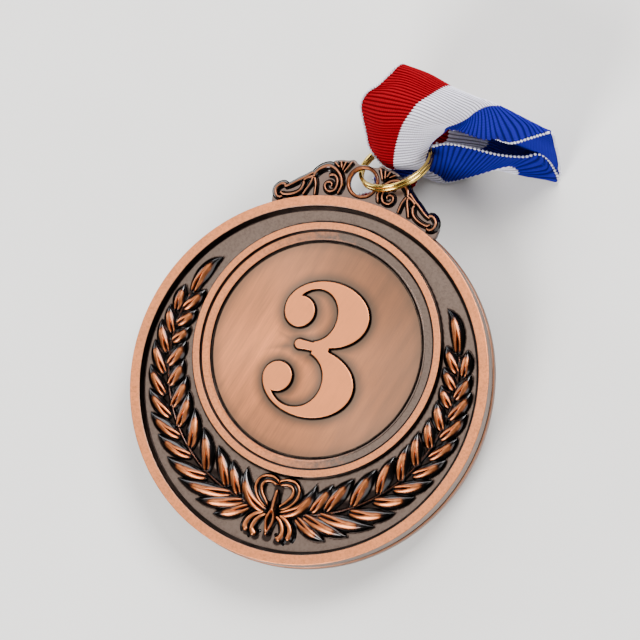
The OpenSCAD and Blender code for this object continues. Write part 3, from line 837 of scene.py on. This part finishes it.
def plate(outline, hole, z_low, z_top, bevel):
    """A flat plate with one hole and a bevelled upper edge."""
    def offset(loop, by):
        ahead = np.roll(loop, -1, 0) - np.roll(loop, 1, 0)
        ahead /= np.linalg.norm(ahead, axis=1)[:, None]
        return loop + np.column_stack([ahead[:, 1], -ahead[:, 0]]) * by
    levels = [(z_low, 0, 0.1), (z_top - bevel, 0, 0.3), (z_top - 0.3 * bevel, 0.3 * bevel, 0.5), (z_top, bevel, 0.5),
              (z_top, bevel + 0.08, 0.5)]
    n, m = len(outline), len(hole)
    verts = [np.column_stack([offset(outline, by), np.full(n, z)]) for z, by, _ in levels]
    tones = [np.full(n, tone) for _, _, tone in levels]  # each level's edge
    faces = grid_faces(len(levels), n, wrap_cols=True)
    start = len(levels) * n
    middle = hole.mean(axis=0)
    wide = middle + (hole - middle) * 1.06
    for loop, z in ((hole, z_low), (hole, z_top), (wide, z_top)):
        verts.append(np.column_stack([loop, np.full(m, z)]))
        tones.append(np.full(m, 0.5))
    faces += [tuple(start + i for i in quad) for quad in grid_faces(3, m, wrap_cols=True)]
    caps = ((offset(outline, bevel + 0.08), start - n, wide, start + 2 * m), (outline, 0, hole, start))
    for edge, outer_at, inner, hole_at in caps:
        loops = [[Vector((*p, 0)) for p in edge], [Vector((*p, 0)) for p in inner]]
        ids = list(range(outer_at, outer_at + n)) + list(range(hole_at, hole_at + m))
        faces += [tuple(ids[i] for i in tri) for tri in tessellate_polygon(loops)]
    return np.concatenate(verts), faces, {"tone": np.concatenate(tones)}


def eyelet():
    hole = EYELET_R - 0.7
    outline = rounded([(hole + 0.25, EYELET_LOW, 0.08), (EYELET_R - 0.25, EYELET_LOW, 0.08),
                       (EYELET_R, EYELET_LOW + 0.3, 0.12), (EYELET_R, EYELET_TOP - 0.3, 0.12),
                       (EYELET_R - 0.2, EYELET_TOP, 0.1), (hole + 0.22, EYELET_TOP, 0.1),
                       (hole, EYELET_TOP - 0.28, 0.12), (hole, EYELET_LOW + 0.28, 0.12)],
                      [0.2, 0.2, 0.0, 0.35, 0.6, 0.8, 0.1, 0.1], closed=True)
    return lathe(outline, (0, EYELET_Y), 128, closed=True)


eyelet_hole = polar_grid([EYELET_R - 0.5], 72) + [0, EYELET_Y]
make_piece("crown_backing", [plate(crown_outline(), eyelet_hole, PLATE_LOW, PLATE_Z, 0.18)], crown_metal,
           ["crown_plate"])
make_pair("crown_relief_", crown_scroll(), scroll_metal, "crown_scroll_")
make_piece("eyelet_ring", [eyelet()], scroll_metal, ["eyelet"])


# ---- split ring

RING_AT = np.array([4.15, 37.35, 1.1])
RING_TILT, RING_TURN = math.radians(40.5), math.radians(118)
RING_R = 6.0
WIRE_R = 0.335
TILT_SIN, TILT_COS = math.sin(RING_TILT), math.cos(RING_TILT)
TURN_SIN, TURN_COS = math.sin(RING_TURN), math.cos(RING_TURN)
RING_AXIS = np.array([TILT_SIN * TURN_COS, TILT_SIN * TURN_SIN, TILT_COS])
RING_X = np.array([TILT_COS * TURN_COS, TILT_COS * TURN_SIN, -TILT_SIN])
RING_Y = np.array([-TURN_SIN, TURN_COS, 0])


def wire_ring(crossing, gap, count=420, sides=16):
    """Two turns of wire that step over each other at one angle, in degrees."""
    turn = np.linspace(gap, 720 - gap, count)
    layer = smooth_step(360 - gap, 360 + gap, turn) - 0.5
    angle = np.radians(crossing + turn)[:, None]
    out = np.cos(angle) * RING_X + np.sin(angle) * RING_Y
    middle = RING_AT + RING_R * out + (layer * 2 * WIRE_R * 0.94)[:, None] * RING_AXIS
    place = turns(sides)
    flat = 1 / (np.abs(np.cos(place)) ** 2.6 + np.abs(np.sin(place)) ** 2.6) ** (1 / 2.6)
    size = np.minimum(1, 0.75 + 0.25 * np.minimum(turn - gap, 720 - gap - turn) / 2)
    rings = [m + s * WIRE_R * (np.outer(np.cos(place) * flat, o) + np.outer(np.sin(place) * flat, RING_AXIS))
             for m, o, s in zip(middle, out, size)]
    return np.concatenate(rings), tube_faces(count, sides), {}


make_piece("split_ring_wire", [wire_ring(335, 9)], brass_metal, ["split_ring"], body="ring")


# ---- ribbon

# Rows across the ribbon, each from its red edge to its blue edge, in four or seven points.
FLOOR_LAYER = FLOOR_Z + 0.2
SECOND_LAYER = FLOOR_Z + 0.5
PLEAT_STEP = 0.33
FRONT_PLEATS_Z = FLOOR_Z + 7.5 * PLEAT_STEP


def seven(row):
    """The row with a point halfway between each pair of neighbours."""
    return [tuple(p) for p in spline(row, 2)] if len(row) == 4 else row


def pleats(left, right, y, z):
    """A row gathered into six pleats, from the floor up."""
    return [(right if i % 2 else left, y, z + i * PLEAT_STEP) for i in range(7)]


def flat_row(half, y, z):
    return [(half * (i - 3) / 3, y, z) for i in range(7)]


def gathered_run(z, spread):
    """From flat rows at the hank, through pleats behind the crown, to an open row below the loop."""
    flat = FLOOR_Z + 0.3 + (0.7 if z > FLOOR_LAYER else 0)
    return [flat_row(13, 22.3, flat), flat_row(12.2, 25.6, flat), flat_row(9.5, 28.5, flat),
            pleats(0.8, 3.6, 33.6, z), pleats(2.8, 5.8, 37.0, z), spread]


REAR_SPREAD = [(0.5, 41.5, FLOOR_LAYER), (4, 41, FLOOR_LAYER), (8.5, 40.6, FLOOR_LAYER), (13, 41.2, FLOOR_LAYER)]
FRONT_SPREAD = [(0.5, 42.2, SECOND_LAYER), (4.5, 42.3, SECOND_LAYER), (10, 42.4, SECOND_LAYER),
                (19, 42.6, SECOND_LAYER)]
REAR_ROWS = [
    [(5, 43.8, FLOOR_LAYER), (11, 43.4, FLOOR_LAYER), (18, 42.8, FLOOR_LAYER), (25, 42.4, FLOOR_LAYER)],
    [(7, 43.9, -6.1), (13.5, 42.6, -6.1), (21.5, 41.3, -6.1), (28.9, 41.3, -5.8)],
    [(8, 43.4, -5.7), (11.2, 42.7, -5.7), (14.6, 42, -5.7), (18.4, 41.2, -5.7), (22.4, 41.4, -5.6),
     (26.9, 42.6, -4.6), (28.1, 43.4, -1.2)],
    [(10, 43, -5.5), (12.5, 42.4, -5.5), (15.2, 41.8, -5.5), (18.2, 41.2, -5.4), (21.4, 42, -5.1),
     (24.9, 43.6, -3), (26.6, 43.9, 1)],
    [(11.5, 42.2, -5.5), (13.4, 41.7, -5.5), (15.4, 41.2, -5.5), (17.6, 40.7, -5.4), (20, 41.6, -4.4),
     (22.6, 42.9, -1.8), (24.1, 42.9, 1.2)],
    [(9.7, 40.8, -5.7), (11.8, 39.6, -5.7), (14.6, 39, -5.3), (20.2, 42.3, 1.6)],
    [(5.8, 39.1, -5.6), (8.6, 37.7, -5.6), (11.2, 37.5, -5.4), (15.9, 42.3, 2.4)],
    [(3.6, 37.9, -5.1), (6.3, 37.5, -4.8), (10, 37.9, -4.3), (12, 42.1, 2.1)],
    [(2.7, 38.6, -4), (4.4, 37.8, -3.4), (8, 38.4, -2.2), (9.2, 41.3, 0.9)]]
FRONT_ROWS = [
    [(1.4, 37.4, -2.2), (2.4, 36.9, -0.4), (4, 36.9, 1), (6.8, 37.6, 1.5), (8.3, 39, 0.2), (7.8, 39.9, -0.7),
     (7, 40.3, -1.5)],
    [(-0.6, 39, 1.2), (2, 38.5, 3.6), (4.8, 38.5, 5.3), (8, 39.8, 4.6), (9.3, 41.7, 2.5), (9, 42.6, 1),
     (8.4, 43.2, -0.4)],
    [(-1, 40.9, 4), (2.3, 40.5, 7), (5.9, 40.6, 8.9), (10, 41.8, 7.6), (11.6, 43.4, 5.2), (11.4, 44.3, 3.4),
     (10.6, 44.8, 1.8)],
    [(-1.1, 42.7, 7.3), (3, 41.9, 10.4), (7.2, 42.3, 12.2), (10.9, 42.8, 10.8), (12.8, 43.7, 8.2),
     (12.8, 44.2, 6), (12.2, 44.6, 4)],
    [(-1.1, 44.3, 9.8), (3.4, 43.7, 12.6), (8.6, 43.9, 14.3), (12.2, 43.6, 13), (13.9, 43.8, 10.3),
     (14, 43.9, 8), (13.2, 44.1, 5.4)],
    [(0.2, 45.9, 12.4), (4.4, 45.8, 14.9), (9.9, 45.4, 15.8), (13.2, 44.9, 15), (15.9, 44.3, 12.2),
     (14.3, 43.7, 9), (12.9, 44.5, 6.5)],
    [(2.4, 47.2, 14.4), (6.6, 47.6, 16.3), (11.7, 46.8, 16.7), (15, 46, 16.1), (17.8, 45.1, 13.9),
     (16.4, 43.4, 11), (14.8, 44.4, 8)],
    [(4.2, 49, 15.7), (7.9, 48.8, 17), (12.9, 47.7, 17.3), (16.4, 47, 17), (19.4, 46.1, 15.6),
     (19.1, 42.9, 12.6), (17.6, 44, 9.6)],
    [(5.4, 50.2, 16.8), (9, 49.7, 17.5), (13.9, 48.4, 17.6), (17.9, 47.8, 17.6), (20.9, 46.9, 16.7),
     (21.8, 42.8, 13.6), (20.7, 43.7, 10.6)],
    [(6, 50.8, 16.3), (10.4, 50.1, 16.9), (14.7, 48.8, 17.2), (18.8, 48, 17.4), (22.2, 47.3, 17.3),
     (24.4, 44.3, 15), (25.2, 42.9, 13.2)],
    [(6.2, 50.8, 14.8), (10.8, 50.1, 15.3), (15, 48.9, 15.6), (19.4, 48, 16), (23.5, 47.4, 17.1),
     (27.4, 45.9, 16.1), (28.8, 44.1, 14.9)],
    [(6, 50.6, 13.2), (10.6, 49.8, 13.6), (14.8, 48.7, 13.9), (19.3, 47.8, 14.2), (23.7, 47.3, 15.2),
     (29, 46, 16.5), (31, 44.9, 16.2)],
    [(5.7, 50.3, 11.6), (10, 49.4, 12), (14.2, 48.4, 12.2), (18.7, 47.5, 12.5), (23.1, 47.1, 13.2),
     (28.9, 46, 14.6), (32.5, 45.2, 16.7)],
    [(5.2, 49.8, 9), (12.8, 47.8, 9.2), (20.6, 46.7, 9.6), (31.9, 44.2, 10.8)],
    [(3.8, 49, 3), (11.2, 47.3, 3), (18, 46.2, 3.5), (30.7, 43.9, 4.2)],
    [(2.5, 47.6, -3), (9.8, 46.2, -3), (16.5, 45.9, -2.8), (29.5, 43.1, -2.2)],
    [(1.5, 44.8, -5.4), (9, 43.7, -5.5), (15.8, 44.2, -5.4), (28.3, 42, -5.3)]]


def thick_sheet(sheet, offset, at):
    """A closed sheet: a grid moved both ways by offset, with a wall round it. at is each row's distance along."""
    count, cols = sheet.shape[:2]
    size = count * cols
    top = grid_faces(count, cols)
    under = [tuple(i + size for i in reversed(f)) for f in top]
    rim = (list(range(cols)) + [r * cols + cols - 1 for r in range(1, count)]
           + list(range(size - 2, size - cols - 1, -1)) + [r * cols for r in range(count - 2, 0, -1)])
    wall = [(a, b, b + size, a + size) for a, b in zip(rim, rim[1:] + rim[:1])]
    verts = np.concatenate([(sheet + offset).reshape(-1, 3), (sheet - offset).reshape(-1, 3)])
    across = np.tile(np.linspace(0, 1, cols), 2 * count)
    return verts, top + under + wall, {"across": across, "along": np.tile(np.repeat(at, cols), 2)}


def woven_sheet(net, cols=61):
    """The ribbon through rows of points, with ribs across it, its two edge lines and its centre line's length.

    The threads of the drawn cloth are longer than its centre line where it bunches.
    """
    rows = spline(np.array([seven(row) for row in net], float), 12)
    centre_length = lengths(rows.mean(axis=1))[-1]
    steps = np.linalg.norm(np.diff(rows, axis=0), axis=2).mean(axis=1)
    along = np.r_[0, np.cumsum(steps)]
    count = int(along[-1] / RIB_PITCH * ROWS_PER_RIB)
    at = np.linspace(0, along[-1], count)
    rows = resampled(rows.reshape(len(rows), -1), along, at).reshape(count, 7, 3)
    sheet = np.empty((count, cols, 3))
    for i, row in enumerate(rows):
        dense = spline(row, 10)
        sheet[i] = resampled(dense, np.linspace(0, 6, len(dense)), np.linspace(0, 6, cols))
    normal = np.cross(np.gradient(sheet, axis=1), np.gradient(sheet, axis=0))
    normal /= np.maximum(np.linalg.norm(normal, axis=-1), 1e-9)[..., None]
    bump = RIB_H * np.sin(2 * math.pi * at / RIB_PITCH)[:, None, None]
    return thick_sheet(sheet, normal * (CLOTH_T / 2 + bump), at), sheet[:, 0], sheet[:, -1], centre_length


def bead(at, way, up, length, radius, rings=5, sides=7):
    """A small twisted knot of thread, longer along way."""
    out = np.cross(way, up)
    place = turns(sides)
    verts = []
    for t in np.linspace(-1, 1, rings):
        size = radius * math.sqrt(max(1 - t * t * 0.93, 0.02))
        verts.append(at + way * t * length / 2 + size * (np.outer(np.cos(place), up) + np.outer(np.sin(place), out)))
    return np.concatenate(verts), tube_faces(rings, sides), {}


def picot(edge, inside, pitch, length, radius, lean, rings=5, sides=7):
    """Beads of thread along an edge line, each leaning a little off it. inside points to the cloth."""
    along = lengths(edge)
    at = np.arange(pitch / 2, along[-1], pitch)
    parts = []
    for point, inner, way in zip(*(resampled(v, along, at) for v in (edge, inside, np.gradient(edge, axis=0)))):
        way = way / max(np.linalg.norm(way), 1e-9)
        out = inner - way * (inner @ way)
        out = -out / max(np.linalg.norm(out), 1e-9)
        leaning = way * math.cos(lean) + out * math.sin(lean)
        parts.append(bead(point + out * radius, leaning, np.cross(way, out), length, radius, rings, sides))
    return parts


def ribbon_piece(name, net, stands_for, body=None):
    """A length of the ribbon with its picot edges, as one cloth object and its two rows of thread."""
    part, red_edge, blue_edge, length = woven_sheet(net)
    inward = blue_edge - red_edge
    cloth = make_piece(name, [part], ribbon_cloth, stands_for, body)
    red_side, blue_side = [
        make_piece(name + side, picot(edge, inside, *sizes), white_thread, (), body)
        for side, edge, inside, sizes in (("_red_picot", red_edge, inward, RED_PICOT),
                                          ("_blue_picot", blue_edge, -inward, BLUE_PICOT))]
    return cloth, red_side, blue_side, length


loop = ribbon_piece("ribbon_loop", [REAR_SPREAD] + REAR_ROWS + FRONT_ROWS + [FRONT_SPREAD],
                    ["ribbon_ring_fold", "ribbon_front_leg", "ribbon_rear_leg"])
for cloth in loop[:3]:
    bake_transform(cloth)
rear_run = ribbon_piece("ribbon_rear_gather", gathered_run(FLOOR_LAYER, REAR_SPREAD), ["ribbon_rear_run"], "medal")
front_run = ribbon_piece("ribbon_front_gather", gathered_run(FRONT_PLEATS_Z, FRONT_SPREAD), [], "medal")


# ---- hank, band and seam

HANK_PLIES = 16
PLY_T = 0.3


def hank_net():
    """The folded length: plies to and fro, joined by tight turns at the hank's round ends."""
    half_h = -FLOOR_Z / 2 - 0.15
    middle_z = FLOOR_Z / 2
    pitch = (2 * half_h - PLY_T) / (HANK_PLIES - 1)
    level = middle_z - half_h + PLY_T / 2 + pitch * np.arange(HANK_PLIES)
    half_w = RIBBON_W / 2 - 0.35
    rows = []
    for i, z in enumerate(level):
        reach = HANK_Y - half_h + math.sqrt(max(half_h**2 - (z - middle_z) ** 2, 0)) - 0.5
        reach -= random.uniform(0, 0.35)
        slide = random.uniform(-0.12, 0.12)
        way = 1 if i % 2 == 0 else -1
        ply = [(y, z) for y in np.linspace(-reach, reach, 14) * way]
        if i < HANK_PLIES - 1:
            ply += [(way * (reach + past), z + pitch * up) for past, up in ((0.18, 0.22), (0.24, 0.5), (0.18, 0.78))]
        rows += [[(slide + half_w * (2 * c / 3 - 1), y, v) for c in range(4)] for y, v in ply]
    return rows


def plain_sheet(net, thickness):
    """A closed sheet through its rows just as they are, the rows and their length."""
    sheet = np.array(net, float)
    middle = sheet.mean(axis=1)
    along = lengths(middle)
    way = np.gradient(middle, axis=0)
    way[1:-1] = middle[2:] - middle[:-2]
    normal = np.cross([1.0, 0, 0], way)
    normal /= np.linalg.norm(normal, axis=1)[:, None]
    return thick_sheet(sheet, normal[:, None] * thickness / 2, along), sheet, along[-1]


hank_part, hank_sheet, hank_length = plain_sheet(hank_net(), PLY_T)
hank = make_piece("ribbon_folded_hank", [hank_part], hank_cloth, ["ribbon_hank"])
sideways = np.tile([1.0, 0, 0], (len(hank_sheet), 1))
hank_picots = [
    make_piece(f"hank_picot_{colour}_side", picot(hank_sheet[:, column], inside, pitch, 0.7, 0.19, lean, 4, 6),
               white_thread)
    for colour, column, inside, pitch, lean in (("red", 0, sideways, 0.8, 0.2), ("blue", -1, -sideways, 1.0, 0.3))]


def paper_band():
    """A closed strip of paper round the hank."""
    thick, corner = 0.15, 1.0
    half_x, low_z, top_z = BAND_X, FLOOR_Z, 0.0
    outline = []
    for i, (x, z) in enumerate([(-half_x, low_z), (half_x, low_z), (half_x, top_z), (-half_x, top_z)]):
        middle = (x - math.copysign(corner, x), z + (corner if z == low_z else -corner))
        for k in range(7):
            a = math.radians(180 + 90 * i) + math.radians(15 * k)
            outline.append((middle[0] + corner * math.cos(a), middle[1] + corner * math.sin(a)))
    outline = np.array(outline)
    centre = np.array([0, (low_z + top_z) / 2])
    inner = centre + (outline - centre) * (1 - thick / np.array([half_x, (top_z - low_z) / 2]))
    y = np.r_[-BAND_Y, -BAND_Y + 0.03, np.linspace(-BAND_Y + 1, BAND_Y - 1, 8), BAND_Y - 0.03, BAND_Y]
    n = len(outline)
    rings = [np.column_stack([edge[:, 0], np.full(n, v), edge[:, 1]])
             for edge, places in ((outline, y), (inner, y[::-1])) for v in places]
    return np.concatenate(rings), grid_faces(len(rings), n, wrap_rows=True, wrap_cols=True), {}


def stitches():
    """Two rows of short stitches across the ribbon where its loop is closed."""
    parts = []
    at_low, at_high = low("seam_stitching"), high("seam_stitching")
    for y in (at_low[1] + 0.25, at_high[1] - 0.25):
        for x in np.arange(at_low[0] + 0.6, at_high[0] - 0.4, 1.25):
            at = np.array([x + random.uniform(-0.05, 0.05), y + random.uniform(-0.05, 0.05), at_low[2] + 0.1])
            parts.append(bead(at, np.array([1.0, 0, 0]), np.array([0, 0, 1.0]), 0.95, 0.13))
    return parts


make_piece("paper_wrap", [paper_band()], band_paper, ["hank_band"])
make_piece("seam_stitches", stitches(), white_thread, ["seam_stitching"])


# ---- floor, light and camera

FLOOR_HALF = 3.0
CAMERA_AT = (0.22549, -0.06126, 0.66392)
CAMERA_RIGHT, CAMERA_UP, CAMERA_BACK = (0.9218, 0.2598, -0.2877), (-0.2154, 0.9603, 0.1770), (0.3223, -0.1012, 0.9412)
CAMERA_LENS = 246.3


def floor():
    s = Shader("studio_floor", roughness=0.85)
    s.set("Base Color", s.mix(s.noise(40, 3), srgb(222, 220, 217), srgb(228, 226, 223)))
    mesh = bpy.data.meshes.new("studio_floor")
    corners = [(x * FLOOR_HALF, y * FLOOR_HALF, FLOOR_Z * MM) for x, y in ((-1, -1), (1, -1), (1, 1), (-1, 1))]
    mesh.from_pydata(corners, [], [(0, 1, 2, 3)])
    mesh.materials.append(s.material)
    placed("studio_floor", mesh)


def softbox(name, at, size, power, colour=(1, 1, 1)):
    """A rectangular area light that faces the medal."""
    light = bpy.data.lights.new(name, "AREA")
    light.shape = "RECTANGLE"
    light.size, light.size_y = size
    light.energy, light.color = power, colour
    obj = placed(name, light)
    obj.location = at
    obj.rotation_mode = "QUATERNION"
    obj.rotation_quaternion = (-Vector(at)).to_track_quat("-Z", "Y")


def studio():
    softbox("key_softbox", (-0.26, 0.16, 0.62), (0.5, 0.5), 1.75, (1, 0.98, 0.95))
    softbox("front_softbox", (-0.10, -0.50, 0.44), (0.3, 0.3), 7.0, (1, 0.99, 0.98))
    softbox("top_softbox", (0.22, 0.40, 0.60), (0.3, 0.3), 9.0, (1, 0.99, 0.98))
    softbox("left_strip", (-0.55, 0.10, 0.16), (0.3, 0.2), 1.6, (0.9, 0.95, 1))
    softbox("back_softbox", (-0.25, 0.70, 0.32), (0.7, 0.25), 4.5, (0.92, 0.96, 1))
    softbox("side_softbox", (0.70, -0.25, 0.40), (0.3, 0.5), 1.5)
    world = bpy.data.worlds.new("studio")
    world.use_nodes = True
    sky = world.node_tree.nodes["Background"]
    sky.inputs[0].default_value, sky.inputs[1].default_value = (0.8, 0.82, 0.85, 1), 0.1
    bpy.context.scene.world = world


def camera():
    """Looks at the medal from its right and a little from below, turned so that the crown leans right."""
    data = bpy.data.cameras.new("camera")
    data.sensor_width, data.lens = 36, CAMERA_LENS
    data.clip_start, data.clip_end = 0.05, 20
    obj = placed("camera", data)
    turn = Matrix((CAMERA_RIGHT, CAMERA_UP, CAMERA_BACK)).transposed()
    obj.matrix_world = Matrix.Translation(CAMERA_AT) @ turn.to_4x4()
    bpy.context.scene.camera = obj


floor()
studio()
camera()
